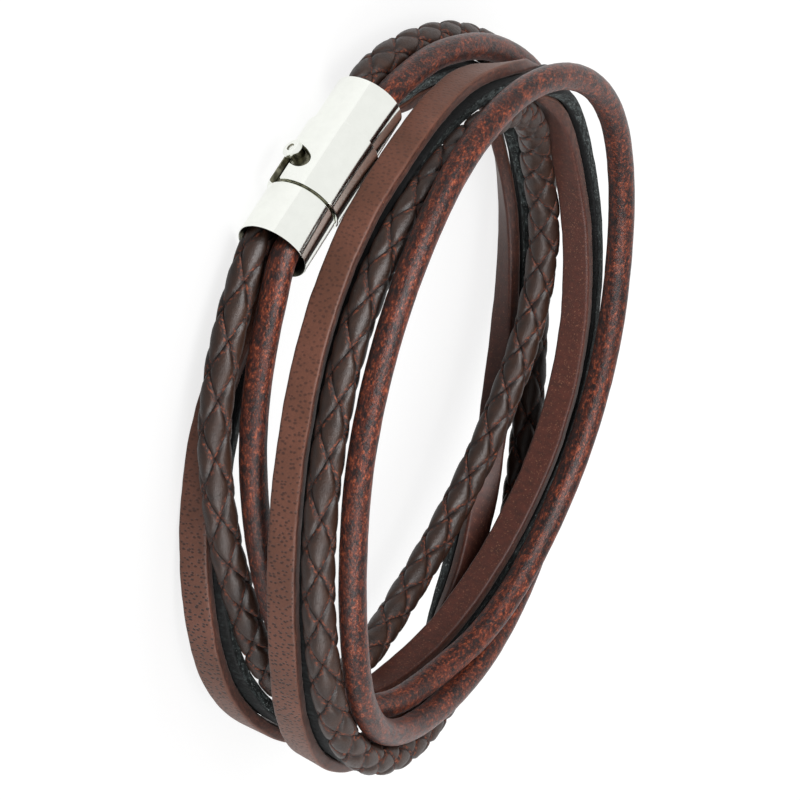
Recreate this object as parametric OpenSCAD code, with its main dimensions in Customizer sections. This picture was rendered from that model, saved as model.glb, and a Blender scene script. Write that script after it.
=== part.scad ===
// Leather wrap bracelet: four leather strands wound twice round the wrist,
// held at both ends by a polished tube clasp with a lock pin in a J-shaped slot.
// Lies on its side on the ground: the wrist goes through along Z. Sizes in mm.

/* [Leather strands] */
// Diameter of the braided cord
braid_d = 3.5; // [3:0.1:3.6]
// Diameter of the plain round cord
round_d = 2.84; // [2.4:0.1:2.9]
// Width of the two flat strips
strip_w = 3.2; // [2.6:0.1:3.2]
// Thickness of the two flat strips
strip_t = 1.4; // [1:0.1:1.4]
// Thickness of a strip's thinned end in the clasp
strip_end_t = 0.7; // [0.5:0.1:0.7]
// Gap between the two strips, which lie back to back
strip_gap = 0.2; // [0.1:0.05:0.2]
// How much thinner a cord is where the clasp grips it
cord_squeeze = 0.13; // [0:0.01:0.16]
// Degrees of turn between two rings of a cord
cord_step = 6; // [4:1:10]
// Degrees of turn between two rings of a strip, which also twists
strip_step = 4; // [3:1:8]

/* [Clasp] */
// Outer diameter of the lower cap
low_cap_d = 7.7; // [7:0.1:8]
// Length of the lower cap
low_cap_len = 6; // [5:0.1:6]
// Outer diameter of the sleeve
sleeve_d = 8.2; // [8:0.1:8.4]
// Outer diameter of the upper cap
up_cap_d = 7.5; // [7.2:0.1:8]
// Length of the upper cap that shows
up_cap_len = 5.6; // [5:0.1:6]
// Diameter of the bores that hold the strands
cap_bore_d = 6.9; // [6.8:0.1:7]
// Depth of those bores
cap_bore_depth = 4.2; // [4:0.1:4.4]
// Diameter of the inner barrel that slides in the sleeve
barrel_d = 6.9; // [6.5:0.1:7]
// Wall clearance between the barrel and the sleeve
barrel_gap = 0.08; // [0.05:0.01:0.1]
// Width of the J-shaped slot
slot_w = 1.9; // [1.8:0.1:2]
// Height of the pin and of the slot's bend above the sleeve's rim
slot_rise = 3.6; // [3.4:0.1:3.8]
// How far the notch at the slot's end lies below the bend
slot_drop = 0.8; // [0.6:0.1:1]
// Diameter of the lock pin's shank
pin_d = 1.6; // [1.4:0.1:1.7]
// Diameter of the lock pin's head
pin_head_d = 2.1; // [1.9:0.1:2.3]
// How far the head stands out from the sleeve
pin_proud = 0.75; // [0.5:0.05:0.9]

/* [Hidden] */
$fn = 72;
seam = 0.05; // gap between two metal pieces
// centres of the clasp's two mouths, in the frame of the wound ring
low_mouth = [-7.5, -36.15, -12.2];
high_mouth = [-24.9, -26, -11.1];
grip = 3.6; // how deep a strand sits in its bore
// the slot and pin: degrees round the clasp from straight out
slot_from = -42;
slot_to = -12.5;
pin_at = -31.5;
// lays the wound ring flat on the ground, centred over the origin
rest_tilt_x = 1.085;
rest_tilt_y = -0.792;
rest_move = [-2.677, -1.661, 17.106];

// One row for each station of the wound strands, along the turn:
// turn (degrees, falling), round cord radius and height, braid radius and height,
// brown strip radius and height, twist of the pair of strips (degrees), and how
// far the black strip is slid sideways on the brown one.
ROUTE = [
    [4, 36.95, -10.25, 37.45, -13.70, 34.75, -12.95, 2, 0.35],
    [-16, 35.50, -9.50, 36.85, -13.15, 34.25, -14.90, -1, 0.95],
    [-34, 34.80, -8.15, 35.95, -11.55, 35.10, -15.00, -2, 1.05],
    [-52, 34.70, -6.65, 35.30, -10.05, 36.95, -14.30, -5, 0.85],
    [-70, 34.70, -5.35, 35.20, -9.80, 38.75, -13.60, 1, 1.20],
    [-88, 34.70, -4.20, 35.15, -10.35, 39.50, -12.35, 12, 1.95],
    [-97, 34.65, -3.80, 35.10, -10.75, 39.20, -11.65, 39, 1.65],
    [-106, 34.55, -3.50, 35.05, -11.15, 38.45, -10.85, 100, 0.90],
    [-115, 34.30, -3.30, 34.95, -11.55, 37.70, -9.90, 160, 0.25],
    [-124, 34.15, -2.90, 34.85, -12.00, 37.10, -8.85, 180, 0.00],
    [-133, 34.25, -2.30, 34.70, -12.45, 36.65, -7.80, 181, 0.00],
    [-142, 34.25, -1.90, 34.60, -12.65, 36.10, -7.00, 180, 0.10],
    [-160, 34.25, -1.55, 34.55, -12.35, 35.20, -5.80, 179, 0.00],
    [-178, 34.25, -1.25, 34.50, -11.50, 34.75, -5.15, 180, -0.15],
    [-196, 34.20, -1.10, 34.55, -10.55, 34.45, -5.30, 179, -0.30],
    [-214, 34.15, -1.10, 33.90, -10.00, 34.15, -6.15, 178, -0.45],
    [-232, 34.15, -0.75, 32.00, -9.70, 33.75, -6.95, 174, -0.45],
    [-250, 34.15, -0.10, 30.40, -7.80, 33.30, -6.80, 161, -0.25],
    [-259, 34.15, 0.15, 29.75, -6.85, 33.15, -6.60, 129, 0.00],
    [-268, 34.15, 0.35, 29.35, -5.95, 33.10, -6.40, 80, 0.35],
    [-277, 34.20, 0.40, 29.15, -5.10, 33.15, -6.35, 34, 0.70],
    [-286, 34.25, 0.45, 29.30, -4.20, 33.30, -6.40, 11, 0.90],
    [-295, 34.35, 0.45, 29.75, -3.20, 33.40, -6.55, 3, 0.90],
    [-304, 34.45, 0.55, 30.60, -2.45, 33.45, -6.40, 0, 0.75],
    [-322, 34.70, 0.85, 32.50, -1.80, 34.00, -5.80, -1, 0.50],
    [-340, 34.95, 1.45, 34.10, -1.90, 34.85, -5.75, 0, 0.45],
    [-358, 35.20, 1.95, 35.30, -1.60, 35.60, -5.35, 0, 0.25],
    [-376, 35.45, 2.45, 36.20, -0.80, 36.40, -4.55, 0, 0.10],
    [-394, 35.60, 2.95, 37.00, -0.15, 37.30, -3.90, 0, 0.15],
    [-412, 35.75, 2.75, 37.85, 0.20, 38.40, -3.85, -1, 0.75],
    [-430, 35.95, 1.60, 38.75, -0.15, 39.70, -4.90, -2, 1.40],
    [-448, 36.20, 0.20, 39.35, -0.90, 40.75, -6.30, 14, 1.60],
    [-466, 36.45, -1.00, 39.60, -2.05, 41.20, -6.70, 51, 1.20],
    [-475, 36.65, -1.40, 39.65, -2.80, 41.15, -6.85, 84, 0.80],
    [-484, 36.95, -1.75, 39.65, -3.65, 40.85, -7.30, 128, 0.35],
    [-493, 37.30, -2.00, 39.70, -4.30, 40.25, -8.00, 177, 0.10],
    [-502, 37.80, -2.45, 39.95, -4.95, 39.45, -8.90, 220, 0.00],
    [-511, 38.30, -3.00, 40.10, -5.95, 38.65, -9.80, 240, -0.05],
    [-520, 38.70, -3.65, 40.15, -7.25, 38.00, -10.75, 228, 0.05],
    [-538, 38.85, -5.20, 40.55, -10.30, 37.05, -12.95, 185, 0.25],
    [-556, 38.45, -6.70, 40.40, -12.75, 36.55, -14.50, 152, 0.25],
    [-574, 37.70, -8.00, 39.85, -13.25, 36.15, -15.45, 135, 0.10],
    [-592, 36.75, -9.05, 38.45, -13.55, 34.60, -15.80, 123, 0.00],
    [-610, 35.80, -9.65, 36.70, -13.80, 32.45, -15.10, 137, -0.15],
    [-628, 34.95, -9.85, 35.15, -13.75, 30.80, -13.65, 155, -0.25],
    [-646, 34.90, -9.75, 34.90, -13.30, 30.70, -12.05, 169, -0.10],
    [-657, 35.35, -9.80, 35.35, -13.15, 31.30, -11.35, 175, -0.05],
    [-667, 35.95, -9.60, 36.10, -13.00, 32.35, -11.00, 181, -0.10]
];
R = 1; // columns: first of each strand's
B = 3;
S = 5;
split = -330; // where each strand's first turn meets its second

// where a strand's middle crosses a bore: out from the ring, and across it
//            lower mouth      upper mouth
PLACES = [
    [[0.75, 1.7],    [0.75, 1.7]],     // round cord
    [[0.5, -1.55],   [0.5, -1.55]],    // braid
    [[-1.75, 0],     [-2.6, 0]]       // brown strip
];

function unit(v) = v / norm(v);
low_out0 = [low_mouth.x, low_mouth.y, 0];
clasp_axis = unit(high_mouth - low_mouth);
clasp_len = norm(high_mouth - low_mouth);
clasp_out = unit(low_out0 - clasp_axis * (low_out0 * clasp_axis));
clasp_side = cross(clasp_axis, clasp_out);
high_out0 = [high_mouth.x, high_mouth.y, 0];
high_out1 = high_out0 - clasp_axis * (high_out0 * clasp_axis);
high_out = unit(high_out1 - clasp_side * (high_out1 * clasp_side));

// a point of the ring as turn, radius, height, with the turn nearest to near
function polar(p, near) = let (a = atan2(-p.x, -p.y))
    [a + 360 * round((near - a) / 360), norm([p.x, p.y]), p.z];
function spot(turn, radius, height) = [-radius * sin(turn), -radius * cos(turn), height];
function low_end(k, deep) = polar(low_mouth + clasp_axis * deep
    + clasp_out * PLACES[k][0].x + clasp_side * PLACES[k][0].y, 12);
function high_end(k, deep) = polar(high_mouth - clasp_axis * deep
    + high_out * PLACES[k][1].x + clasp_side * PLACES[k][1].y, -676);

round_rows = concat([low_end(0, grip), low_end(0, 0)],
    [for (q = ROUTE) [q[0], q[R], q[R + 1]]], [high_end(0, 0), high_end(0, grip)]);
braid_rows = concat([low_end(1, grip), low_end(1, 0)],
    [for (q = ROUTE) [q[0], q[B], q[B + 1]]], [high_end(1, 0), high_end(1, grip)]);
strip_rows = concat([concat(low_end(2, grip), [0, 0]), concat(low_end(2, 0), [0, 0])],
    [for (q = ROUTE) [q[0], q[S], q[S + 1], q[S + 2], q[S + 3]]],
    [concat(high_end(2, 0), [180, 0]), concat(high_end(2, grip), [180, 0])]);

// smooth curve through the rows, each with the mean slope of its two neighbours
function slope(rows, i) = i == 0 ? (rows[1] - rows[0]) / (rows[1][0] - rows[0][0])
    : i == len(rows) - 1 ? (rows[i] - rows[i - 1]) / (rows[i][0] - rows[i - 1][0])
    : (slope_to(rows, i - 1) + slope_to(rows, i)) / 2;
function slope_to(rows, i) = (rows[i + 1] - rows[i]) / (rows[i + 1][0] - rows[i][0]);
function row_before(rows, turn, i = 0) =
    i >= len(rows) - 2 || rows[i + 1][0] <= turn ? i : row_before(rows, turn, i + 1);
function at(rows, turn) = let (i = row_before(rows, turn), w = rows[i + 1][0] - rows[i][0],
    u = (turn - rows[i][0]) / w, u2 = u * u, u3 = u2 * u)
    rows[i] * (2 * u3 - 3 * u2 + 1) + slope(rows, i) * w * (u3 - 2 * u2 + u)
    + rows[i + 1] * (3 * u2 - 2 * u3) + slope(rows, i + 1) * w * (u3 - u2);

// 0 inside the clasp, 1 at length past each mouth
function free(turn, first, last, length) = max(0, min(1, (first - turn) / length, (turn - last) / length));
function strip_thick(turn) = strip_end_t + (strip_t - strip_end_t) * free(turn, 8, -672, 8);

// the middle of each strand at a turn
function round_mid(turn) = let (q = at(round_rows, turn)) spot(turn, q[1], q[2]);
function braid_mid(turn) = let (q = at(braid_rows, turn)) spot(turn, q[1], q[2]);
function brown_mid(turn) = let (q = at(strip_rows, turn)) spot(turn, q[1], q[2]);

// a ring's frame: outward and across, both square to the strand
function outward(dir, turn) = let (o = [-sin(turn), -cos(turn), 0]) unit(o - dir * (o * dir));
function cord_ring(mid, turn, dir, rad) = let (o = outward(dir, turn), a = cross(o, dir))
    [for (i = [0:9]) mid + rad * (cos(36 * i) * o + sin(36 * i) * a)];
// both strips' rings lie in one plane, square to the brown one: away is how far
// the black strip's middle is from the brown one's
function strip_ring(mid, turn, dir, twist, away, slide, w, t) = let (o = outward(dir, turn), a = cross(o, dir),
    n = cos(twist) * o - sin(twist) * a, b = sin(twist) * o + cos(twist) * a, c = 0.32 * t)
    [for (q = [[w - c, t], [w, t - c], [w, c - t], [w - c, -t], [c - w, -t], [-w, c - t], [-w, t - c], [c - w, t]])
        mid + b * (q[0] + slide) + n * (q[1] - away)];

// turns at which a strand has rings, from one end to the other
function turns(from, to, step) = concat([from],
    [for (i = [ceil((-from + 1.5) / step):floor((-to - 1.5) / step)]) -i * step], [to]);

// the face named by other is split along its other diagonal, so that two
// strips which twist back to back are split alike
module skin(rings, other = -1) {
    n = len(rings[0]);
    polyhedron(points = [for (r = rings) each r], faces = concat(
        [[for (i = [n - 1:-1:0]) i]],
        [for (j = [0:len(rings) - 2], i = [0:n - 1]) each i == other ? [
            [j * n + i, j * n + i + 1, (j + 1) * n + i + 1],
            [j * n + i, (j + 1) * n + i + 1, (j + 1) * n + i]] : [
            [j * n + i, j * n + (i + 1) % n, (j + 1) * n + i],
            [j * n + (i + 1) % n, (j + 1) * n + (i + 1) % n, (j + 1) * n + i]]],
        [[for (i = [0:n - 1]) (len(rings) - 1) * n + i]]));
}

module cord(from, to, kind) {
    rows = kind == "braid" ? braid_rows : round_rows;
    mouth = rows[1][0];
    high = rows[len(rows) - 2][0];
    rad = (kind == "braid" ? braid_d : round_d) / 2;
    skin([for (t = turns(from, to, cord_step)) let (
        mid = kind == "braid" ? braid_mid(t) : round_mid(t),
        dir = kind == "braid" ? unit(braid_mid(t - 0.5) - braid_mid(t + 0.5)) : unit(round_mid(t - 0.5) - round_mid(t + 0.5)),
        grown = rad - cord_squeeze * (1 - free(t, mouth + 3, high - 3, 3)))
        cord_ring(mid, t, dir, grown)]);
}

module strip(from, to, kind) {
    skin([for (t = turns(from, to, strip_step)) let (
        q = at(strip_rows, t),
        dir = unit(brown_mid(t - 0.5) - brown_mid(t + 0.5)),
        away = kind == "black" ? strip_thick(t) + strip_gap : 0)
        strip_ring(brown_mid(t), t, dir, q[3], away, kind == "black" ? q[4] : 0, strip_w / 2, strip_thick(t) / 2)], 3);
}

module rest() translate(rest_move) rotate([rest_tilt_x, rest_tilt_y, 0]) children();

// the clasp's own frame: X out from the ring, Y across, Z along the tube
module on_clasp() rest() multmatrix([
    [clasp_out.x, clasp_side.x, clasp_axis.x, low_mouth.x],
    [clasp_out.y, clasp_side.y, clasp_axis.y, low_mouth.y],
    [clasp_out.z, clasp_side.z, clasp_axis.z, low_mouth.z],
    [0, 0, 0, 1]]) children();

sleeve_z = low_cap_len + seam;
sleeve_end = clasp_len - up_cap_len;
slot_z = sleeve_z + slot_rise;
barrel_end = sleeve_end - 2;

first = round_rows[0][0];
last = round_rows[len(round_rows) - 1][0];

module brown_strip_turn_1() color([0.36, 0.23, 0.19]) rest() strip(strip_rows[0][0], split, "brown");
module brown_strip_turn_2() color([0.36, 0.23, 0.19]) rest() strip(split, strip_rows[len(strip_rows) - 1][0], "brown");
module black_strip_turn_1() color([0.07, 0.07, 0.07]) rest() strip(strip_rows[0][0], split, "black");
module black_strip_turn_2() color([0.07, 0.07, 0.07]) rest() strip(split, strip_rows[len(strip_rows) - 1][0], "black");
module braided_cord_turn_1() color([0.27, 0.2, 0.17]) rest() cord(braid_rows[0][0], split, "braid");
module braided_cord_turn_2() color([0.27, 0.2, 0.17]) rest() cord(split, braid_rows[len(braid_rows) - 1][0], "braid");
module round_cord_turn_1() color([0.35, 0.16, 0.12]) rest() cord(first, split, "round");
module round_cord_turn_2() color([0.35, 0.16, 0.12]) rest() cord(split, last, "round");

// holds the strands' lower ends; its barrel slides into the sleeve
module clasp_lower_cap() color([0.8, 0.8, 0.79]) on_clasp() difference() {
    rotate_extrude() polygon([[0, cap_bore_depth], [cap_bore_d / 2, cap_bore_depth], [cap_bore_d / 2, 0.15],
        [cap_bore_d / 2 + 0.15, 0], [low_cap_d / 2 - 0.12, 0], [low_cap_d / 2, 0.12],
        [low_cap_d / 2, low_cap_len - 0.12], [low_cap_d / 2 - 0.12, low_cap_len], [barrel_d / 2, low_cap_len],
        [barrel_d / 2, barrel_end - 0.3], [barrel_d / 2 - 0.3, barrel_end], [0, barrel_end]]);
    // hole for the pin
    rotate([0, 0, pin_at]) translate([1.95, 0, slot_z]) rotate([0, 90, 0]) cylinder(h = 3, d = pin_d + 0.1, $fn = 36);
}

// slides over the barrel; the pin stands in the cross run of its slot
module clasp_sleeve() color([0.8, 0.8, 0.79]) on_clasp() difference() {
    rotate_extrude() polygon([[barrel_d / 2 + barrel_gap, sleeve_z], [sleeve_d / 2 - 0.12, sleeve_z], [sleeve_d / 2, sleeve_z + 0.12],
        [sleeve_d / 2, sleeve_end - 0.15], [sleeve_d / 2 - 0.15, sleeve_end], [barrel_d / 2 + barrel_gap, sleeve_end]]);
    // the slot's straight run, open at the rim, and a hair narrower so that no face
    // only grazes another
    rotate([0, 0, slot_from]) translate([2.6, 0.02 - slot_w / 2, sleeve_z - 1]) cube([3, slot_w - 0.04, slot_rise + 1]);
    // its cross run past the pin, which drops into a notch at its end
    hull() {
        for (at = [slot_from, pin_at]) rotate([0, 0, at]) translate([2.6, 0, slot_z]) rotate([0, 90, 0]) cylinder(h = 3, d = slot_w, $fn = 36);
        rotate([0, 0, slot_to]) translate([2.6, 0, slot_z - slot_drop]) rotate([0, 90, 0]) cylinder(h = 3, d = slot_w, $fn = 36);
    }
}

// holds the strands' upper ends; its spigot is fixed in the sleeve
module clasp_upper_cap() color([0.8, 0.8, 0.79]) on_clasp() rotate_extrude() polygon([
    [0, sleeve_end - 1.6], [barrel_d / 2 + 0.03, sleeve_end - 1.6], [barrel_d / 2 + 0.03, sleeve_end + seam],
    [up_cap_d / 2 - 0.12, sleeve_end + seam], [up_cap_d / 2, sleeve_end + seam + 0.12],
    [up_cap_d / 2, clasp_len - 0.12], [up_cap_d / 2 - 0.12, clasp_len], [cap_bore_d / 2 - 0.05 + 0.12, clasp_len],
    [cap_bore_d / 2 - 0.05, clasp_len - 0.12], [cap_bore_d / 2 - 0.05, clasp_len - cap_bore_depth],
    [0, clasp_len - cap_bore_depth]]);

// turned pin with a round, dimpled head
module lock_pin() color([0.75, 0.75, 0.74]) on_clasp() rotate([0, 0, pin_at]) translate([0, 0, slot_z]) rotate([0, 90, 0])
    rotate_extrude($fn = 36) polygon([[0, 2.05], [pin_d / 2, 2.05], [pin_d / 2, sleeve_d / 2 + 0.1],
        [pin_head_d / 2, sleeve_d / 2 + 0.1], [pin_head_d / 2, sleeve_d / 2 + pin_proud - 0.15],
        [pin_head_d / 2 - 0.15, sleeve_d / 2 + pin_proud], [0.45, sleeve_d / 2 + pin_proud],
        [0.3, sleeve_d / 2 + pin_proud - 0.15], [0, sleeve_d / 2 + pin_proud - 0.15]]);

brown_strip_turn_1();
brown_strip_turn_2();
black_strip_turn_1();
black_strip_turn_2();
braided_cord_turn_1();
braided_cord_turn_2();
round_cord_turn_1();
round_cord_turn_2();
clasp_lower_cap();
clasp_sleeve();
clasp_upper_cap();
lock_pin();
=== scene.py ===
"""Leather wrap bracelet, lying on its side: four leather strands wound twice
round, held at both ends by a polished tube clasp. Each piece has its section."""

import bmesh
import bpy
import numpy as np
from mathutils import Matrix


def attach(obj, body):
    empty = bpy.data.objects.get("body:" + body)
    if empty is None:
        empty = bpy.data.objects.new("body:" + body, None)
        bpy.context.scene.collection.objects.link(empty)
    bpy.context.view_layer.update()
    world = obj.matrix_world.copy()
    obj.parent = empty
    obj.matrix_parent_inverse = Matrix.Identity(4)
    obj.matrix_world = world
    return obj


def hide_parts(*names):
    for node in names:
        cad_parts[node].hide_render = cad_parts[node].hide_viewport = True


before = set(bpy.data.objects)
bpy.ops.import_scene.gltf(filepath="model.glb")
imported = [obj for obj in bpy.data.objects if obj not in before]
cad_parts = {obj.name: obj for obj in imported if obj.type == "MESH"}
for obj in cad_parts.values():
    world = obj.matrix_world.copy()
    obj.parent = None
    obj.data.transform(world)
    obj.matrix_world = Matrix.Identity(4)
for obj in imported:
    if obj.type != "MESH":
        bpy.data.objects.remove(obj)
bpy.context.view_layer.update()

# Brown strip
# Flat cowhide strip, 3.2 by 1.4 mm, wound twice round from one bore of the clasp to
# the other and glued in both. Its grain side, with pores, starts facing out; its
# inner side is suede and its edges are cut raw.

# Where each strand's middle runs, a row for each station along the turn: turn
# (degrees, falling), round cord's radius and height, braid's radius and height,
# brown strip's radius and height, twist of the two strips, slide of the black one.
# The turns were chosen; a least squares fit to centre lines traced in the
# photograph worked out the rest, which is rounded to 0.05 mm and whole degrees.
ROUTE = np.array((
    (4, 36.95, -10.25, 37.45, -13.70, 34.75, -12.95, 2, 0.35),
    (-16, 35.50, -9.50, 36.85, -13.15, 34.25, -14.90, -1, 0.95),
    (-34, 34.80, -8.15, 35.95, -11.55, 35.10, -15.00, -2, 1.05),
    (-52, 34.70, -6.65, 35.30, -10.05, 36.95, -14.30, -5, 0.85),
    (-70, 34.70, -5.35, 35.20, -9.80, 38.75, -13.60, 1, 1.20),
    (-88, 34.70, -4.20, 35.15, -10.35, 39.50, -12.35, 12, 1.95),
    (-97, 34.65, -3.80, 35.10, -10.75, 39.20, -11.65, 39, 1.65),
    (-106, 34.55, -3.50, 35.05, -11.15, 38.45, -10.85, 100, 0.90),
    (-115, 34.30, -3.30, 34.95, -11.55, 37.70, -9.90, 160, 0.25),
    (-124, 34.15, -2.90, 34.85, -12.00, 37.10, -8.85, 180, 0.00),
    (-133, 34.25, -2.30, 34.70, -12.45, 36.65, -7.80, 181, 0.00),
    (-142, 34.25, -1.90, 34.60, -12.65, 36.10, -7.00, 180, 0.10),
    (-160, 34.25, -1.55, 34.55, -12.35, 35.20, -5.80, 179, 0.00),
    (-178, 34.25, -1.25, 34.50, -11.50, 34.75, -5.15, 180, -0.15),
    (-196, 34.20, -1.10, 34.55, -10.55, 34.45, -5.30, 179, -0.30),
    (-214, 34.15, -1.10, 33.90, -10.00, 34.15, -6.15, 178, -0.45),
    (-232, 34.15, -0.75, 32.00, -9.70, 33.75, -6.95, 174, -0.45),
    (-250, 34.15, -0.10, 30.40, -7.80, 33.30, -6.80, 161, -0.25),
    (-259, 34.15, 0.15, 29.75, -6.85, 33.15, -6.60, 129, 0.00),
    (-268, 34.15, 0.35, 29.35, -5.95, 33.10, -6.40, 80, 0.35),
    (-277, 34.20, 0.40, 29.15, -5.10, 33.15, -6.35, 34, 0.70),
    (-286, 34.25, 0.45, 29.30, -4.20, 33.30, -6.40, 11, 0.90),
    (-295, 34.35, 0.45, 29.75, -3.20, 33.40, -6.55, 3, 0.90),
    (-304, 34.45, 0.55, 30.60, -2.45, 33.45, -6.40, 0, 0.75),
    (-322, 34.70, 0.85, 32.50, -1.80, 34.00, -5.80, -1, 0.50),
    (-340, 34.95, 1.45, 34.10, -1.90, 34.85, -5.75, 0, 0.45),
    (-358, 35.20, 1.95, 35.30, -1.60, 35.60, -5.35, 0, 0.25),
    (-376, 35.45, 2.45, 36.20, -0.80, 36.40, -4.55, 0, 0.10),
    (-394, 35.60, 2.95, 37.00, -0.15, 37.30, -3.90, 0, 0.15),
    (-412, 35.75, 2.75, 37.85, 0.20, 38.40, -3.85, -1, 0.75),
    (-430, 35.95, 1.60, 38.75, -0.15, 39.70, -4.90, -2, 1.40),
    (-448, 36.20, 0.20, 39.35, -0.90, 40.75, -6.30, 14, 1.60),
    (-466, 36.45, -1.00, 39.60, -2.05, 41.20, -6.70, 51, 1.20),
    (-475, 36.65, -1.40, 39.65, -2.80, 41.15, -6.85, 84, 0.80),
    (-484, 36.95, -1.75, 39.65, -3.65, 40.85, -7.30, 128, 0.35),
    (-493, 37.30, -2.00, 39.70, -4.30, 40.25, -8.00, 177, 0.10),
    (-502, 37.80, -2.45, 39.95, -4.95, 39.45, -8.90, 220, 0.00),
    (-511, 38.30, -3.00, 40.10, -5.95, 38.65, -9.80, 240, -0.05),
    (-520, 38.70, -3.65, 40.15, -7.25, 38.00, -10.75, 228, 0.05),
    (-538, 38.85, -5.20, 40.55, -10.30, 37.05, -12.95, 185, 0.25),
    (-556, 38.45, -6.70, 40.40, -12.75, 36.55, -14.50, 152, 0.25),
    (-574, 37.70, -8.00, 39.85, -13.25, 36.15, -15.45, 135, 0.10),
    (-592, 36.75, -9.05, 38.45, -13.55, 34.60, -15.80, 123, 0.00),
    (-610, 35.80, -9.65, 36.70, -13.80, 32.45, -15.10, 137, -0.15),
    (-628, 34.95, -9.85, 35.15, -13.75, 30.80, -13.65, 155, -0.25),
    (-646, 34.90, -9.75, 34.90, -13.30, 30.70, -12.05, 169, -0.10),
    (-657, 35.35, -9.80, 35.35, -13.15, 31.30, -11.35, 175, -0.05),
    (-667, 35.95, -9.60, 36.10, -13.00, 32.35, -11.00, 181, -0.10),
))
STRIP_COLUMNS = (0, 5, 6, 7, 8)  # of the route
LOW_MOUTH = np.array((-7.5, -36.15, -12.2))  # mouths of the clasp's two bores, mm
HIGH_MOUTH = np.array((-24.9, -26.0, -11.1))
GRIP = 3.6  # how deep a strand sits in its bore
REST_TILT_X, REST_TILT_Y = 1.085, -0.792  # how the bracelet lies, degrees
REST_MOVE = (-2.677, -1.661, 17.106)

tilt = np.array(
    Matrix.Rotation(np.radians(REST_TILT_Y), 3, "Y")
    @ Matrix.Rotation(np.radians(REST_TILT_X), 3, "X")
)


def to_world(points):
    """Millimetres round the ring's middle to metres where the bracelet lies."""
    return (np.asarray(points) @ tilt.T + REST_MOVE) * 0.001


def unit(v):
    return v / np.linalg.norm(v, axis=-1, keepdims=True)


def across_tube(mouth, side=None):
    """The two directions across the clasp at a mouth: out from the ring, and sideways."""
    out = np.array((mouth[0], mouth[1], 0.0))
    for known in (clasp_axis,) if side is None else (clasp_axis, side):
        out = out - known * (out @ known)
    out = unit(out)
    return out, np.cross(clasp_axis, out)


clasp_axis = unit(HIGH_MOUTH - LOW_MOUTH)
clasp_out, clasp_side = across_tube(LOW_MOUTH)
high_out = across_tube(HIGH_MOUTH, clasp_side)[0]


def polar(p, near):
    """A point as turn, radius and height, on the lap nearest to a given turn."""
    turn = np.degrees(np.arctan2(-p[0], -p[1]))
    return turn + 360 * round((near - turn) / 360), np.hypot(p[0], p[1]), p[2]


def strand_rows(columns, low_place, high_place, low_twist=(), high_twist=()):
    """A strand's stations, with its ends at their places (out, sideways) in the two bores."""
    low, high = (
        mouth + out * place[0] + clasp_side * place[1]
        for mouth, out, place in ((LOW_MOUTH, clasp_out, low_place), (HIGH_MOUTH, high_out, high_place))
    )
    first = [polar(low + clasp_axis * deep, 12) + low_twist for deep in (GRIP, 0)]
    last = [polar(high - clasp_axis * deep, -676) + high_twist for deep in (0, GRIP)]
    return np.array(first + [tuple(row[list(columns)]) for row in ROUTE] + last)


def smooth_rows(rows, turns):
    """A smooth curve through the rows, with the mean slope of each row's neighbours."""
    k = rows[:, 0]
    step = np.diff(rows, axis=0) / np.diff(k)[:, None]
    slope = np.vstack((step[:1], (step[:-1] + step[1:]) / 2, step[-1:]))
    i = np.clip(np.searchsorted(-k, -np.asarray(turns), side="right") - 1, 0, len(k) - 2)
    w = (k[i + 1] - k[i])[:, None]
    u = ((turns - k[i]) / w[:, 0])[:, None]
    return (
        rows[i] * (2 * u**3 - 3 * u**2 + 1) + slope[i] * w * (u**3 - 2 * u**2 + u)
        + rows[i + 1] * (3 * u**2 - 2 * u**3) + slope[i + 1] * w * (u**3 - u**2)
    )


def wound(rows, turns):
    """A strand's middle, length so far, and outward and sideways directions at each turn."""
    def middle(t):
        q, a = smooth_rows(rows, t), np.radians(t)
        return np.stack((-q[:, 1] * np.sin(a), -q[:, 1] * np.cos(a), q[:, 2]), 1)

    mid, a = middle(turns), np.radians(turns)
    way = unit(middle(turns - 0.5) - middle(turns + 0.5))
    radial = np.stack((-np.sin(a), -np.cos(a), 0 * a), 1)
    out = unit(radial - way * np.sum(radial * way, 1, keepdims=True))
    length = np.concatenate(((0,), np.cumsum(np.linalg.norm(np.diff(mid, axis=0), axis=1))))
    return mid, length, out, np.cross(out, way)


def wavy(s, seed, longest, rows=6):
    """A hand-made unevenness along a length in mm, about -1 to 1."""
    rng = np.random.default_rng(seed)
    total = np.zeros(np.shape(s))
    for n in range(rows):
        total += np.sin(2 * np.pi * s * 1.37**n / longest + rng.uniform(0, 6.28)) / 1.2**n
    return total / 2.6


def rolled_skin(name, rings, values):
    """A flat sheet rolled over the rings into a closed strand, with named values on its points."""
    count, around = rings.shape[:2]
    sheet = bmesh.new()
    bmesh.ops.create_grid(sheet, x_segments=count - 1, y_segments=around, size=0.5)
    mesh = bpy.data.meshes.new(name)
    sheet.to_mesh(mesh)
    sheet.free()
    at = np.empty(len(mesh.vertices) * 3, np.float32)
    mesh.vertices.foreach_get("co", at)
    i = np.rint((at[0::3] + 0.5) * (count - 1)).astype(int)
    j = np.rint((at[1::3] + 0.5) * around).astype(int) % around
    mesh.vertices.foreach_set("co", to_world(rings[i, j]).astype(np.float32).ravel())
    for key, value in values.items():
        layer = mesh.attributes.new(key, "FLOAT", "POINT")
        layer.data.foreach_set("value", np.broadcast_to(value, (count, around))[i, j].astype(np.float32))
    skin = bmesh.new()
    skin.from_mesh(mesh)
    bmesh.ops.remove_doubles(skin, verts=skin.verts, dist=1e-8)
    bmesh.ops.holes_fill(skin, edges=[e for e in skin.edges if e.is_boundary], sides=0)
    bmesh.ops.recalc_face_normals(skin, faces=skin.faces)
    skin.to_mesh(mesh)
    skin.free()
    mesh.shade_smooth()
    return mesh


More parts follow.
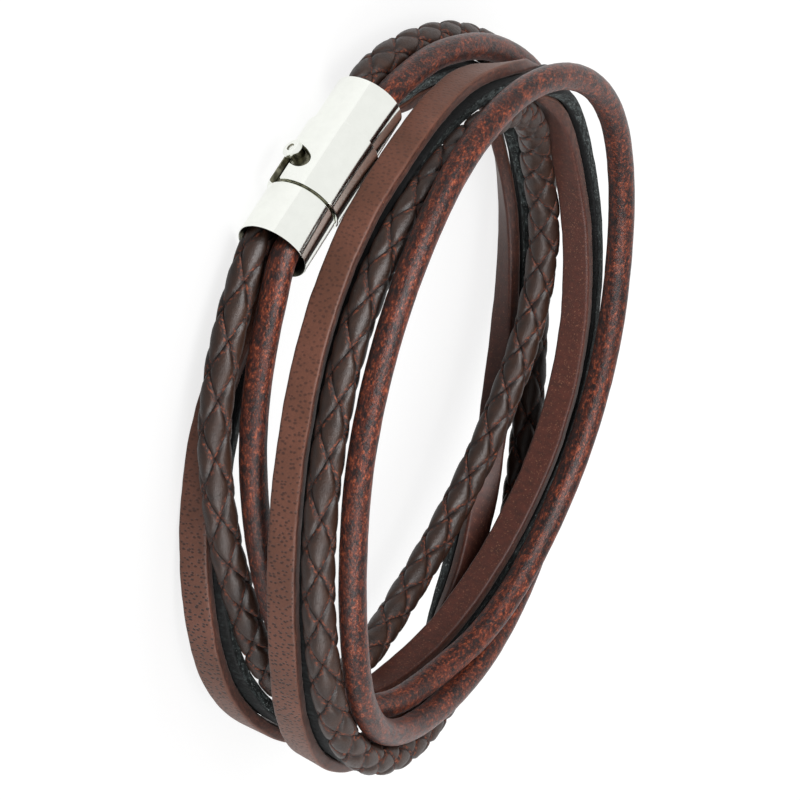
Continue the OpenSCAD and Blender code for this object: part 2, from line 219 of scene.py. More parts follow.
def place(name, mesh, skin=None):
    """An object at the origin, whose place is in its mesh."""
    piece = bpy.data.objects.new(name, mesh)
    bpy.context.scene.collection.objects.link(piece)
    if skin:
        mesh.materials.append(skin)
    return piece


class Nodes:
    """Shader nodes laid one after another in a material or a group, each with its inputs."""

    def __init__(self, tree):
        self.tree = tree

    def add(self, kind, inputs=(), **settings):
        made = self.tree.nodes.new(kind if kind.startswith("Node") else "ShaderNode" + kind)
        for key, value in settings.items():
            setattr(made, key, value)
        for key, value in dict(inputs).items():
            self.put(made.inputs[key], value)
        return made

    def put(self, socket, value):
        if isinstance(value, bpy.types.Node):
            value = value.outputs[0]
        if isinstance(value, bpy.types.NodeSocket):
            self.tree.links.new(value, socket)
        else:
            socket.default_value = value

    def read(self, name):
        return self.add("Attribute", attribute_name=name).outputs["Fac"]

    def math(self, operation, a, b=0.0):
        return self.add("Math", {0: a, 1: b}, operation=operation).outputs[0]

    def times(self, *values):
        total = values[0]
        for value in values[1:]:
            total = self.math("MULTIPLY", total, value)
        return total

    def span(self, value, low, high, to_low=0.0, to_high=1.0):
        return self.add("MapRange", {"Value": value, "From Min": low, "From Max": high,
                                     "To Min": to_low, "To Max": to_high}).outputs["Result"]

    def mix(self, amount, a, b):
        made = self.add("Mix", data_type="RGBA")
        for key, value in (("Factor", amount), ("A", a), ("B", b)):
            self.put(made.inputs[key], value)
        return made.outputs["Result"]

    def scaled(self, where, by):
        return self.add("VectorMath", {0: where, 1: by}, operation="MULTIPLY").outputs[0]

    def noise(self, where, scale, detail=4.0, rough=0.55):
        return self.add("TexNoise", {"Vector": where, "Scale": scale, "Detail": detail,
                                     "Roughness": rough}).outputs["Fac"]


def colour(red, green, blue):
    """A colour given as it looks on screen, 0 to 255."""
    return tuple(((c / 255 + 0.055) / 1.055) ** 2.4 for c in (red, green, blue)) + (1.0,)


def effect(name, inputs, outputs):
    """An empty effect that several materials can use, its inputs and its outputs."""
    tree = bpy.data.node_groups.new(name, "ShaderNodeTree")
    for way, sockets in (("INPUT", inputs), ("OUTPUT", outputs)):
        for key, kind in sockets.items():
            tree.interface.new_socket(key, in_out=way, socket_type="NodeSocket" + kind)
    n = Nodes(tree)
    return tree, n, n.add("NodeGroupInput").outputs, n.add("NodeGroupOutput").inputs


def skin_of(name, **constants):
    """A new material, its nodes and its shader, with the values that are the same all over."""
    made = bpy.data.materials.new(name)
    made.use_nodes = True
    shader = made.node_tree.nodes["Principled BSDF"]
    for key, value in constants.items():
        shader.inputs[key.replace("_", " ")].default_value = value
    return made, Nodes(made.node_tree), shader.inputs


# fine grain of a leather's surface, as a height from 0 to 1; Size in grains per mm
fine_grain, n, given, result = effect(
    "fine_grain", {"Place": "Vector", "Size": "Float", "Hair": "Float"}, {"Height": "Float"})
hair = n.noise(given["Place"], n.times(given["Size"], 3.0), 3.0, 0.5)
grains = n.noise(given["Place"], given["Size"], 5.0, 0.65)
n.put(result["Height"], n.math("ADD", grains, n.times(hair, given["Hair"])))

# raw fibres of a cut edge: how much of the edge shows, and its streaked colour
cut_edge, n, given, result = effect(
    "cut_edge", {"Place": "Vector", "Side": "Float", "Dark": "Color", "Light": "Color", "Speck": "Color"},
    {"Amount": "Float", "Color": "Color", "Fibre": "Float"})
fibre = n.noise(n.scaled(given["Place"], (0.7, 2.0, 2.6)), 1.3, 6.0, 0.72)
speck = n.span(n.noise(n.scaled(given["Place"], (1.0, 1.6, 1.6)), 3.6, 3.0, 0.6), 0.6, 0.68)
streaks = n.mix(n.span(fibre, 0.46, 0.62), given["Dark"], given["Light"])
n.put(result["Color"], n.mix(n.times(speck, 0.7), streaks, given["Speck"]))
n.put(result["Amount"], n.span(given["Side"], 0.7, 0.95))
n.put(result["Fibre"], fibre)

# width, thickness, thickness in the bores, and gap to the black strip, mm
STRIP_W, STRIP_T, STRIP_END_T, STRIP_GAP = 3.2, 1.4, 0.7, 0.2
STRIP_CORNER, STRIP_CROWN = 0.3, 0.05  # rounding of its edges in mm, and swell of its faces
strip_rows = strand_rows(STRIP_COLUMNS, (-1.75, 0.0), (-2.6, 0.0), (0.0, 0.0), (180.0, 0.0))
strip_turns = np.linspace(strip_rows[0, 0], strip_rows[-1, 0], 760)
strip_mid, strip_len, strip_out, strip_side = wound(strip_rows, strip_turns)
strip_at = smooth_rows(strip_rows, strip_turns)
# pressed thin in the bores, it comes to its full thickness over 8 degrees outside them
strip_thick = STRIP_END_T + (STRIP_T - STRIP_END_T) * np.clip(
    np.minimum((8 - strip_turns) / 8, (strip_turns + 672) / 8), 0, 1
)
twist = np.radians(strip_at[:, 3])[:, None]
strip_up = np.cos(twist) * strip_out - np.sin(twist) * strip_side
strip_wide = np.sin(twist) * strip_out + np.cos(twist) * strip_side
# how far the grain is stretched open where the strip was bent most, by turn
open_pores = np.interp(-strip_turns, (-12, 20, 50, 100, 150, 230, 300, 360, 420, 470, 540, 690),
                       (0.35, 0.35, 1.0, 1.0, 0.4, 0.6, 0.3, 0.45, 1.0, 1.0, 0.6, 0.4))


def strip_section(corner, crown):
    """Round a strip's section: across (mm), up (half thicknesses), and how far it is an edge."""
    points = []
    for across, up, start in ((1, 1, 90), (1, -1, 0), (-1, -1, -90), (-1, 1, -180)):
        for n in range(5):
            a = np.radians(start - 22.5 * n)
            points.append((across * (STRIP_W / 2 - corner) + corner * np.cos(a),
                           up * 0.5 + 0.5 * np.sin(a), abs(np.cos(a))))
        if across * up < 0:
            flat = np.linspace(0.72, -0.72, 5) * -up
            points += [(x * STRIP_W / 2, up * (1 + crown * (1 - x * x)), 0.0) for x in flat]
    return np.array(points)


def strip_skin(name, seed, away, slide):
    """A strip's skin, a given distance inside the brown one and slid sideways from it."""
    across, up, side = strip_section(STRIP_CORNER, STRIP_CROWN).T
    ragged = 0.035 * wavy(strip_len[:, None] + 40 * np.sign(across), seed, 9) * np.sign(across)
    x = across + ragged + slide[:, None]
    y = up * strip_thick[:, None] / 2 + 0.02 * wavy(strip_len[:, None], seed + 1, 14) - away[:, None]
    rings = strip_mid[:, None] + strip_wide[:, None] * x[..., None] + strip_up[:, None] * y[..., None]
    return rolled_skin(name, rings, {
        "along": strip_len[:, None], "across": across, "up": up, "side": side,
        "outward": up * np.cos(twist), "open": open_pores[:, None]})


def strip_place(n):
    """Where a point is on a strip: along it, across it and through it, in mm."""
    through = n.times(n.read("up"), STRIP_T / 2)
    return n.add("CombineXYZ", {"X": n.read("along"), "Y": n.read("across"), "Z": through}).outputs[0]


skin, n, shader = skin_of("brown_leather_skin", Roughness=0.5, Specular_IOR_Level=0.16, Sheen_Weight=0.08,
                          Sheen_Roughness=0.45, Sheen_Tint=colour(235, 220, 214))
where, side, stretch = strip_place(n), n.read("side"), n.read("open")
# pores: one pit in each cell of an uneven net, a little wider than long
warp = n.add("TexNoise", {"Vector": where, "Scale": 0.45, "Detail": 2.0}).outputs["Color"]
bent = n.add("VectorMath", {0: where, 1: n.scaled(warp, (0.5, 0.4, 0.0))}, operation="ADD").outputs[0]
spot = n.scaled(bent, (1.8, 1.65, 0.0))
cells = n.add("TexVoronoi", {"Vector": spot, "Scale": 1.0, "Randomness": 0.95}, voronoi_dimensions="2D")
aside = n.add("VectorMath", {0: cells.outputs["Position"], 1: spot}, operation="SUBTRACT")
reach = n.add("VectorMath", {0: n.scaled(aside, (1.3, 1.0, 0.0))}, operation="LENGTH").outputs["Value"]
deep = n.add("SeparateColor", {"Color": cells.outputs["Color"]}).outputs["Red"]
pit = n.span(n.math("ADD", reach, n.times(deep, 0.12)), 0.22, 0.42, 1.0, 0.0)
grain_side = n.times(n.span(n.read("outward"), -0.15, 0.25), n.span(side, 0.75, 0.3))
pores = n.times(pit, grain_side, n.span(stretch, 0.3, 1.0, 0.3, 1.0))
face = n.mix(n.span(n.noise(where, 0.13, 3.0), 0.35, 0.65), colour(54, 30, 20), colour(66, 38, 28))
face = n.mix(n.times(n.span(n.noise(where, 5.0, 4.0, 0.7), 0.45, 0.7), 0.4), face, colour(36, 19, 14))
face = n.mix(n.times(pores, 0.95), face, colour(13, 3, 2))
nap = n.noise(n.scaled(where, (1.0, 0.6, 1.0)), 1.4, 6.0, 0.7)
suede = n.mix(n.span(nap, 0.35, 0.65), colour(33, 13, 8), colour(48, 20, 13))
suede = n.mix(n.times(n.span(n.noise(where, 6.0, 2.0, 0.5), 0.62, 0.72), 0.4), suede, colour(110, 76, 56))
base = n.mix(n.span(n.read("outward"), -0.3, 0.3), suede, face)
edge = n.add("Group", {"Place": where, "Side": side, "Dark": colour(26, 11, 8), "Light": colour(58, 30, 22),
                       "Speck": colour(100, 64, 48)}, node_tree=cut_edge)
rawness = n.times(edge.outputs["Amount"], n.span(n.read("outward"), -0.9, 0.3, 0.35, 0.85))
n.put(shader["Base Color"], n.mix(rawness, base, edge.outputs["Color"]))
grain = n.add("Group", {"Place": where, "Size": 3.4, "Hair": 0.5}, node_tree=fine_grain)
height = n.math("SUBTRACT", n.times(grain, 0.5), n.times(pores, 1.1))
n.put(shader["Normal"], n.add("Bump", {"Height": height, "Strength": 0.45, "Distance": 0.00008}))
brown_mesh = strip_skin("brown_strip", 11, 0 * strip_len, 0 * strip_len)
brown_strip = place("brown_strip", brown_mesh, skin)
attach(brown_strip, "root")
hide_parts("brown_strip_turn_1", "brown_strip_turn_2")

# Black strip
# The same strip dyed black, lying back to back with the brown one on its inner
# side and glued in the same bores; its edges and its face show grey fibres.
skin, n, shader = skin_of("black_leather_skin", Roughness=0.6, Specular_IOR_Level=0.07, Sheen_Weight=0.02,
                          Sheen_Roughness=0.5, Sheen_Tint=colour(225, 230, 230))
where, side = strip_place(n), n.read("side")
edge = n.add("Group", {"Place": where, "Side": side, "Dark": colour(8, 9, 9), "Light": colour(46, 51, 51),
                       "Speck": colour(112, 118, 116)}, node_tree=cut_edge)
base = n.mix(n.span(n.noise(where, 1.2, 5.0), 0.3, 0.7), colour(4, 4, 4), colour(10, 10, 11))
worn = n.noise(n.scaled(where, (3.0, 0.7, 1.0)), 2.0, 5.0, 0.7)
worn = n.times(n.span(worn, 0.5, 0.72), n.span(n.read("open"), 0.4, 1.0, 0.1, 0.55))
base = n.mix(worn, base, colour(46, 51, 51))
n.put(shader["Base Color"], n.mix(edge.outputs["Amount"], base, edge.outputs["Color"]))
grain = n.add("Group", {"Place": where, "Size": 2.6, "Hair": 0.6}, node_tree=fine_grain)
height = n.math("ADD", n.times(grain, 0.6), n.times(edge.outputs["Fibre"], 0.6))
n.put(shader["Normal"], n.add("Bump", {"Height": height, "Strength": 0.6, "Distance": 0.00013}))
black_mesh = strip_skin("black_strip", 23, strip_thick + STRIP_GAP, strip_at[:, 4])
black_strip = place("black_strip", black_mesh, skin)
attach(black_strip, "root")
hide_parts("black_strip_turn_1", "black_strip_turn_2")

# Round cord
# Round leather cord of 2.84 mm with an antique finish, glued in both bores:
# red-brown grain, orange where it is rubbed, nearly black in blotches.
ROUND_D, SQUEEZE = 2.84, 0.13  # mm; a cord is pressed thinner where it enters a bore
ROUND_FACETS = 24


def cord_rows(columns, low_place, high_place, count):
    """A cord's stations and how free it is of the clasp, 0 to 1."""
    rows = strand_rows(columns, low_place, high_place)
    turns = np.linspace(rows[0, 0], rows[-1, 0], count)
    free = np.clip(np.minimum((rows[1, 0] + 3 - turns) / 3, (turns - rows[-2, 0] + 3) / 3), 0, 1)
    return turns, free, wound(rows, turns)


turns, free, (mid, length, out, sideways) = cord_rows((0, 1, 2), (0.75, 1.7), (0.75, 1.7), 900)
around = np.arange(ROUND_FACETS) * 2 * np.pi / ROUND_FACETS
rad = (ROUND_D / 2 - SQUEEZE * (1 - free))[:, None] + 0.015 * wavy(length[:, None] + 7 * np.sin(around), 5, 6)
rings = mid[:, None] + rad[..., None] * (
    np.cos(around)[:, None] * out[:, None] + np.sin(around)[:, None] * sideways[:, None])
skin, n, shader = skin_of("antique_leather_skin", Specular_IOR_Level=0.15, Sheen_Weight=0.03,
                          Sheen_Roughness=0.35, Sheen_Tint=colour(235, 225, 225))
where = n.add("CombineXYZ", {"X": n.times(n.read("along"), 0.6), "Y": n.times(n.read("cos"), ROUND_D / 2),
                             "Z": n.times(n.read("sin"), ROUND_D / 2)}).outputs[0]
cloud, fine = n.noise(where, 0.7, 4.0, 0.6), n.noise(where, 6.0, 5.0, 0.7)
rubbed = n.times(n.span(n.noise(where, 4.2, 6.0, 0.75), 0.5, 0.62), n.span(cloud, 0.3, 0.6, 0.35, 1.0))
stain = n.times(n.span(n.noise(where, 1.9, 6.0, 0.75), 0.47, 0.57), 0.92)
base = n.mix(n.span(cloud, 0.36, 0.62), colour(22, 7, 4), colour(50, 18, 10))
base = n.mix(rubbed, base, colour(100, 47, 26))
base = n.mix(stain, base, colour(7, 3, 4))
n.put(shader["Base Color"], base)
n.put(shader["Roughness"], n.span(fine, 0.3, 0.7, 0.26, 0.45))
grain = n.add("Group", {"Place": where, "Size": 5.0, "Hair": 0.4}, node_tree=fine_grain)
n.put(shader["Normal"], n.add("Bump", {"Height": grain, "Strength": 0.6, "Distance": 0.00011}))
round_cord = place("round_cord", rolled_skin("round_cord", rings, {
    "along": length[:, None], "cos": np.cos(around), "sin": np.sin(around)}), skin)
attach(round_cord, "root")
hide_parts("round_cord_turn_1", "round_cord_turn_2")

# Braided cord
# Round cord plaited from six flat laces, 3.5 mm across: three laces wind one way
# and three the other, each over one and under one, with raw rust-brown edges.
# Painted shade darkens the creases along the edges and where a lace dives under.
BRAID_R, LACES, LACE_DEEP = 1.75, 3, 0.5  # mm, laces each way, mm
# length along the cord (mm) and how many facets it has passed there, at facets whose
# places were read in the photograph and turned into lengths along the route
LAY = np.array(((0, -0.32), (25.4, 4), (31.8, 5), (122.0, 21.5), (147.1, 26.5),
                (152.5, 27.5), (235.9, 43), (242.1, 44), (441.4, 80)))
# where a facet stands round the cord, by length (mm): degrees
ROLL = np.array(((0, -32), (28, -32), (137, -7), (240, -34), (441, -20)))
# how a lace rises over the next one and dives under it, by part of a facet
RISE = np.array(((0, 1), (0.09, 1), (0.155, 0.93), (0.19, 0.7), (0.225, 0.1),
                 (0.26, -0.6), (0.35, -1), (0.5, -1)))
PHASES = np.array((-0.5, -0.35, -0.26, -0.225, -0.19, -0.155, -0.09,
                   0, 0.09, 0.155, 0.19, 0.225, 0.26, 0.35))
# round a lace's section: across in half widths, depth below its top in mm
LACE = np.array(((0.97, 0.06), (0.8, 0.01), (0.5, 0.0), (0.17, 0.0), (-0.17, 0.0), (-0.5, 0.0),
                 (-0.8, 0.01), (-0.97, 0.06), (-1.0, 0.2), (-0.95, LACE_DEEP), (0.0, LACE_DEEP),
                 (0.95, LACE_DEEP), (1.0, 0.2)))
LACE_RISE, LACE_CROWN = 0.18, 0.2  # how far a lace rises and falls, and how its top is rounded, mm
turns, free, (mid, length, out, sideways) = cord_rows((0, 3, 4), (0.5, -1.55), (0.5, -1.55), 2400)
facets = (LAY[0, 1] + 0.25, LAY[-1, 1] - 0.25)
stations = (np.arange(np.floor(facets[0]), facets[1] + 1)[:, None] + PHASES).ravel()
laces = []
for way in (1, -1):
    shift = 0 if way > 0 else 0.5  # a lace is on top where the other three are below
    t = (stations - shift)[:, None]
    t = t[(t[:, 0] > facets[0]) & (t[:, 0] < facets[1])]
    for k in range(LACES):
        seed = 30 + 10 * k + way
        across, deep = LACE.T
        d = np.clip(t - way * across / 4, LAY[0, 1], LAY[-1, 1])  # the section is sheared
        s = np.interp(d, LAY[:, 1], LAY[:, 0])
        phase = np.abs((t + shift + 0.5) % 1 - 0.5)
        lift = np.interp(phase, RISE[:, 0], RISE[:, 1])
        wide = across * (0.985 + 0.022 * wavy(s, seed, 5))
        top = BRAID_R - LACE_RISE + LACE_RISE * lift - LACE_CROWN * np.abs(across) ** 2.2
        top = top + 0.015 * wavy(s, seed + 3, 6)
        rad = (top - deep) * np.interp(s, length, 1 - 0.08 * (1 - free))
        angle = way * 2 * np.pi * d / LACES + wide * np.pi / 3 + 2 * np.pi * k / LACES
        angle = (angle + np.radians(np.interp(s, ROLL[:, 0], ROLL[:, 1])))[..., None]
        here, o, a = (np.stack([np.interp(s, length, v[:, c]) for c in range(3)], -1)
                      for v in (mid, out, sideways))
        rings = here + rad[..., None] * (np.cos(angle) * o + np.sin(angle) * a)
        name = f"lace_{len(laces)}"
        laces.append(place(name, rolled_skin(name, rings, {  # each lace has its own stretch of the pattern
            "along": s + 500 * len(laces), "across": across, "lift": lift})))
with bpy.context.temp_override(active_object=laces[0], selected_editable_objects=laces):
    bpy.ops.object.join()
braided_cord = laces[0]
braided_cord.name = braided_cord.data.name = "braided_cord"
skin, n, shader = skin_of("braid_leather_skin", Specular_IOR_Level=0.22)
where = n.add("CombineXYZ", {"X": n.read("along"), "Y": n.times(n.read("across"), 1.8)}).outputs[0]
uneven = n.span(n.noise(where, 2.6, 5.0, 0.6), 0.2, 0.8, -0.1, 0.1)
rim = n.math("ADD", n.math("ABSOLUTE", n.read("across")), uneven)
raw = n.span(rim, 0.64, 0.8)
fine = n.noise(where, 3.0, 5.0, 0.6)
base = n.mix(n.span(n.noise(where, 0.6, 4.0), 0.3, 0.7), colour(17, 8, 4), colour(31, 17, 10))
base = n.mix(n.times(n.span(n.noise(where, 5.5, 4.0, 0.7), 0.55, 0.7), 0.4), base, colour(12, 7, 6))
# the lace edges: rust-brown raw fibres, mixed with near-black painted shade along the creases between laces
rust_and_crease_shade = n.mix(n.span(n.noise(where, 2.6, 5.0, 0.8), 0.5, 0.62), colour(12, 4, 2), colour(84, 39, 20))
# painted shade: each lace goes towards near-black where it dives under the next one
low = n.span(n.read("lift"), -0.4, 0.55, 0.25, 1.0)  # darker where it dives under
n.put(shader["Base Color"], n.mix(low, colour(6, 3, 3), n.mix(raw, base, rust_and_crease_shade)))
n.put(shader["Roughness"], n.math("ADD", n.span(fine, 0.3, 0.7, 0.34, 0.48), n.times(raw, 0.3)))
grain = n.add("Group", {"Place": where, "Size": 3.0, "Hair": 0.6}, node_tree=fine_grain)
n.put(shader["Normal"], n.add("Bump", {"Height": grain, "Strength": 0.5, "Distance": 0.0001}))
braided_cord.data.materials.clear()
braided_cord.data.materials.append(skin)
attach(braided_cord, "root")
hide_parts("braided_cord_turn_1", "braided_cord_turn_2")

# Clasp
# Tube clasp of polished stainless steel in four turned pieces: the lower cap
# with its barrel, the sleeve with a milled J-shaped slot that slides over the
# barrel, the upper cap fixed in the sleeve, and the pressed-in lock pin.
LATHE_STEPS, PIN_STEPS = 192, 64  # round a turned piece and round the pin
LOW_CAP_D, LOW_CAP_LEN, UP_CAP_D, UP_CAP_LEN, SLEEVE_D, BARREL_D = 7.7, 6.0, 7.5, 5.6, 8.2, 6.9  # mm
BORE_D, BORE_DEEP, SEAM, WALL_GAP, GROOVE = 6.9, 4.2, 0.05, 0.08, 0.15
SPIGOT_LEN, SPIGOT_GAP = 1.6, 0.03  # the upper cap's part inside the sleeve
SLOT_W, SLOT_FROM, SLOT_TO, PIN_AT = 1.9, -42.0, -12.5, -31.5  # mm, then degrees round the clasp
CLASP_LEN = float(np.linalg.norm(HIGH_MOUTH - LOW_MOUTH))
SLEEVE_Z, SLEEVE_END = LOW_CAP_LEN + SEAM, CLASP_LEN - UP_CAP_LEN
SLOT_Z, SLOT_DROP, SLOT_BEVEL = SLEEVE_Z + 3.6, 0.8, 0.22
PIN_D, PIN_HEAD_D, PIN_PROUD, PIN_FOOT, PIN_DIMPLE = 1.6, 2.1, 0.75, 2.05, 0.2
on_clasp = Matrix.Identity(4)
for column, way in enumerate((clasp_out, clasp_side, clasp_axis)):
    for row, value in enumerate(tilt @ way):
        on_clasp[row][column] = value
for row, value in enumerate(to_world(LOW_MOUTH) * 1000):
    on_clasp[row][3] = value
on_clasp = Matrix.Scale(0.001, 4) @ on_clasp
across_clasp = Matrix.Rotation(np.radians(90), 4, "Y")  # turns a z axis to point out of the clasp


def turned(profile, steps=LATHE_STEPS):
    """A closed solid turned on a lathe from a profile of radius and height, in mm."""
    part = bmesh.new()
    points = [part.verts.new((r, 0, z)) for r, z in profile]
    edges = [part.edges.new(pair) for pair in zip(points, points[1:] + points[:1])]
    bmesh.ops.spin(part, geom=points + edges, cent=(0, 0, 0), axis=(0, 0, 1), angle=2 * np.pi,
                   steps=steps, use_merge=True, use_duplicate=False)
    bmesh.ops.remove_doubles(part, verts=part.verts, dist=1e-5)
    bmesh.ops.dissolve_degenerate(part, edges=part.edges, dist=1e-6)
    bmesh.ops.recalc_face_normals(part, faces=part.faces)
    return part


def rounded(corners, steps=4):
    """A profile with its named corners rounded: (radius, height, rounding)."""
    points = []
    for i, (r, z, size) in enumerate(corners):
        here = np.array((r, z))
        if not size:
            points.append((r, z))
            continue
        back, on = (np.array(corners[(i + k) % len(corners)][:2]) - here for k in (-1, 1))
        start, end = here + unit(back) * size, here + unit(on) * size
        for u in np.linspace(0, 1, steps + 1):
            points.append(tuple((1 - u) ** 2 * start + 2 * u * (1 - u) * here + u * u * end))
    return points


def steel_piece(name, part, node):
    """A turned piece in its place on the clasp, with crisp edges, in polished steel."""
    part.transform(on_clasp)
    for edge in part.edges:
        edge.smooth = len(edge.link_faces) == 2 and edge.calc_face_angle() < np.radians(20)
    for face in part.faces:
        face.smooth = True
    mesh = bpy.data.meshes.new(name)
    part.to_mesh(mesh)
    part.free()
    piece = place(name, mesh, steel)
    mesh.materials.append(milled_painted_shade)
    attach(piece, "root")
    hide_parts(node)
    return piece


def steel_skin(name, rough, scale, dark, light):
    """A steel with a faint cloud of two tones, as many clouds to a metre as the scale says."""
    made, n, shader = skin_of(name, Metallic=1.0, Roughness=rough)
    cloud = n.noise(n.add("TexCoord").outputs["Object"], scale, 3.0)
    n.put(shader["Base Color"], n.mix(n.span(cloud, 0.35, 0.65), dark, light))
    return made


steel = steel_skin("polished_steel_skin", 0.1, 900.0, colour(240, 242, 236), colour(243, 245, 239))
# the milled steel: a duller finish, made far darker than steel as painted shade in the bores, slot, barrel
# and pin dimple
milled_painted_shade = steel_skin("milled_steel_painted_shade_skin", 0.3, 1500.0, colour(92, 90, 76), colour(150, 148, 128))


def mill_and_shade(part, inside):
    """Gives a turned part's faces inside a radius the duller milled steel, darkened as painted shade in these
    hollows.
    """
    for face in part.faces:
        centre = face.calc_center_median()
        if inside(np.hypot(centre.x, centre.y), centre.z):
            face.material_index = 1
    return part


barrel_end = SLEEVE_END - 2
steel_piece("clasp_lower_cap_steel", mill_and_shade(turned(rounded((
    (0, BORE_DEEP, 0), (BORE_D / 2, BORE_DEEP, 0), (BORE_D / 2, 0.5, 0), (BORE_D / 2 + 0.3, 0, 0.05),
    (LOW_CAP_D / 2, 0, 0.07), (LOW_CAP_D / 2, LOW_CAP_LEN, 0.28), (BARREL_D / 2, LOW_CAP_LEN, 0),
    (BARREL_D / 2, barrel_end, 0.3), (0, barrel_end, 0)))),
    lambda r, z: z > LOW_CAP_LEN or r < BORE_D / 2 + 0.25 and z < LOW_CAP_LEN - 0.5), "clasp_lower_cap")

# the sleeve's lower edge stands a little clear of the cap, as a fine groove
sleeve_in, sleeve_out = BARREL_D / 2 + WALL_GAP, SLEEVE_D / 2
sleeve = turned(rounded((
    (sleeve_in, SLEEVE_Z + GROOVE, 0), (sleeve_out, SLEEVE_Z + GROOVE, 0.28),
    (sleeve_out, SLEEVE_END, 0.15), (sleeve_in, SLEEVE_END, 0))))


def slot_outline(widen):
    """Outline of the slot rolled out flat on the sleeve, in mm: up from the rim, and across to the notch."""
    half = SLOT_W / 2 + widen
    run, bend, tip = (np.array((np.radians(a) * sleeve_out, z)) for a, z in (
        (SLOT_FROM, SLOT_Z), (PIN_AT, SLOT_Z), (SLOT_TO, SLOT_Z - SLOT_DROP)))
    above, below = (np.arctan2(*(tip - start)[::-1]) for start in (bend, run))
    under = np.array((np.sin(below), -np.cos(below)))
    inner = run + half * (under + (1, 0)) / (1 + under[0])

    def arc(middle, start, end, steps):
        return [middle + half * np.array((np.cos(a), np.sin(a))) for a in np.linspace(start, end, steps)]

    rim = SLEEVE_Z - 2.0
    return np.array([(run[0] - half, rim), (run[0] + half, rim), inner,
                     *arc(tip, below - np.pi / 2, above + np.pi / 2, 13),
                     *arc(bend, above + np.pi / 2, np.pi / 2, 4),
                     *arc(run, np.pi / 2, np.pi, 9)])


# the slot's cutter, by distance from the clasp's middle: it opens out to bevel the slot's edge
cutter = bmesh.new()
levels = []
for reach, widen in ((2.6, 0.0), (sleeve_out - 0.1, 0.0), (sleeve_out + 0.12, SLOT_BEVEL), (5.6, SLOT_BEVEL)):
    levels.append([cutter.verts.new((reach * np.cos(x / sleeve_out), reach * np.sin(x / sleeve_out), z))
                   for x, z in slot_outline(widen)])
rims = [[cutter.edges.new(pair) for pair in zip(level, level[1:] + level[:1])] for level in levels]
for low_rim, high_rim in zip(rims, rims[1:]):
    bmesh.ops.bridge_loops(cutter, edges=low_rim + high_rim)
for rim_edges in (rims[0], rims[-1]):
    bmesh.ops.triangle_fill(cutter, edges=rim_edges, use_beauty=True)
bmesh.ops.recalc_face_normals(cutter, faces=cutter.faces)
shapes = []
for name, part, metal in (("sleeve_blank", sleeve, 0), ("slot_cutter", cutter, 1)):
    for face in part.faces:
        face.material_index = metal
    mesh = bpy.data.meshes.new(name)
    part.to_mesh(mesh)
    part.free()
    shapes.append(place(name, mesh, steel))
    mesh.materials.append(milled_painted_shade)
cut = shapes[0].modifiers.new("slot", "BOOLEAN")
cut.object, cut.operation, cut.solver = shapes[1], "DIFFERENCE", "EXACT"
bpy.context.view_layer.update()
cut_sleeve = shapes[0].evaluated_get(bpy.context.evaluated_depsgraph_get())
sleeve = bmesh.new()
sleeve.from_mesh(bpy.data.meshes.new_from_object(cut_sleeve))
for piece in shapes:
    bpy.data.objects.remove(piece)
steel_piece("clasp_sleeve_steel", sleeve, "clasp_sleeve")

spigot, spigot_foot = BARREL_D / 2 + SPIGOT_GAP, SLEEVE_END - SPIGOT_LEN
steel_piece("clasp_upper_cap_steel", turned(rounded((
    (0, spigot_foot, 0), (spigot, spigot_foot, 0), (spigot, SLEEVE_END + SEAM, 0),
    (UP_CAP_D / 2, SLEEVE_END + SEAM, 0.15), (UP_CAP_D / 2, CLASP_LEN, 0.15),
    (BORE_D / 2 - 0.05, CLASP_LEN, 0.15), (BORE_D / 2 - 0.05, CLASP_LEN - BORE_DEEP, 0),
    (0, CLASP_LEN - BORE_DEEP, 0)))), "clasp_upper_cap")

# the pin, turned along its own length, with a dimple in its head
head, neck = sleeve_out + PIN_PROUD, sleeve_out + 0.1
dimple = head - PIN_DIMPLE
pin = mill_and_shade(turned(rounded((
    (0, PIN_FOOT, 0), (PIN_D / 2, PIN_FOOT, 0), (PIN_D / 2, neck, 0), (PIN_HEAD_D / 2, neck, 0.06),
    (PIN_HEAD_D / 2, head, 0.28), (0.46, head, 0.1), (0.3, dimple, 0.05), (0, dimple, 0))), PIN_STEPS),
    lambda r, z: r < 0.44 and z > dimple + 0.01 or z < sleeve_out)
pin.transform(Matrix.Rotation(np.radians(PIN_AT), 4, "Z") @ Matrix.Translation((0, 0, SLOT_Z)) @ across_clasp)
steel_piece("lock_pin_steel", pin, "lock_pin")

# Floor, lights and camera
# Pale floor in an even white light, soft lamps from the picture's right and from
# below; the camera looks from the photograph's side, from above the floor.
sheet = bmesh.new()
bmesh.ops.create_grid(sheet, x_segments=1, y_segments=1, size=3.0)
floor_mesh = bpy.data.meshes.new("floor")
sheet.to_mesh(floor_mesh)
sheet.free()
paint = skin_of("floor_paint", Roughness=0.9, Specular_IOR_Level=0.0, Base_Color=(0.32, 0.32, 0.32, 1.0),
                Emission_Color=(1.0, 1.0, 1.0, 1.0), Emission_Strength=0.77)[0]
floor = place("floor", floor_mesh, paint)

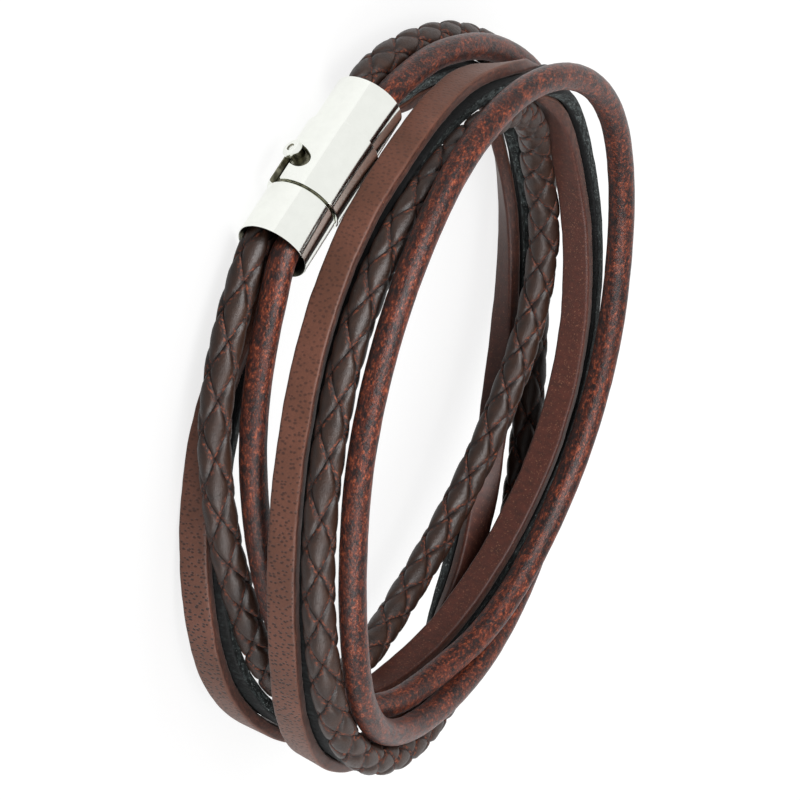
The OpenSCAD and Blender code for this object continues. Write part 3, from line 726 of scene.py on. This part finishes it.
YAW, ROLLED, DISTANCE, FOCAL = 21.96, 16.61, 650.0, 282.85  # degrees, degrees, mm, mm
OFFSET = (8.99, 0.38)  # the ring's middle on the picture, mm right and up
yaw, rolled = np.radians(YAW), np.radians(ROLLED)
toward = np.array((0, -np.cos(yaw), np.sin(yaw)))
right = np.array((0, np.sin(yaw), np.cos(yaw)))
pic_x = np.cos(rolled) * right + np.sin(rolled) * np.array((-1.0, 0, 0))
pic_y = -np.sin(rolled) * right + np.cos(rolled) * np.array((-1.0, 0, 0))


def facing(obj, at, axes):
    """Puts a camera or lamp at a place in metres, with its three axes."""
    pose = Matrix.Identity(4)
    for column, way in enumerate((*axes, at)):
        for row, value in enumerate(way):
            pose[row][column] = value
    obj.matrix_world = pose
    bpy.context.scene.collection.objects.link(obj)


camera = bpy.data.objects.new("camera", bpy.data.cameras.new("camera"))
camera.data.lens, camera.data.sensor_width, camera.data.clip_end = FOCAL, 36.0, 20
eye = toward * DISTANCE - pic_x * OFFSET[0] - pic_y * OFFSET[1]
facing(camera, to_world(eye), [tilt @ way for way in (pic_x, pic_y, toward)])
bpy.context.scene.camera = camera

tent = bpy.data.worlds.new("tent")
tent.use_nodes = True
tent.node_tree.nodes["Background"].inputs["Color"].default_value = (1.0, 1.0, 1.0, 1.0)
tent.node_tree.nodes["Background"].inputs["Strength"].default_value = 0.96
bpy.context.scene.world = tent
bpy.context.scene.view_settings.view_transform = "Standard"
# name, power in watts, width and height in m, and place in m: to the picture's
# right, up, and toward the camera
LIGHTS = (
    ("key", 13.0, 0.2, 0.6, (0.34, 0.12, 0.5)),
    ("low", 6.0, 0.4, 0.3, (0.05, -0.5, 0.3)),
)
# the lamps shine on the leather alone: the steel shows the even white light
leather = bpy.data.collections.new("leather")
for piece in (brown_strip, black_strip, round_cord, braided_cord):
    leather.objects.link(piece)
for name, power, wide, high, (x, y, z) in LIGHTS:
    lamp = bpy.data.lights.new(name, "AREA")
    lamp.shape = "RECTANGLE"
    lamp.energy, lamp.size, lamp.size_y = power, wide, high
    at = tilt @ (pic_x * x + pic_y * y + toward * z)
    back = unit(at)
    level = unit(np.cross(tilt @ pic_y, back))
    spot = bpy.data.objects.new(name, lamp)
    spot.light_linking.receiver_collection = leather
    facing(spot, at, (level, np.cross(back, level), back))
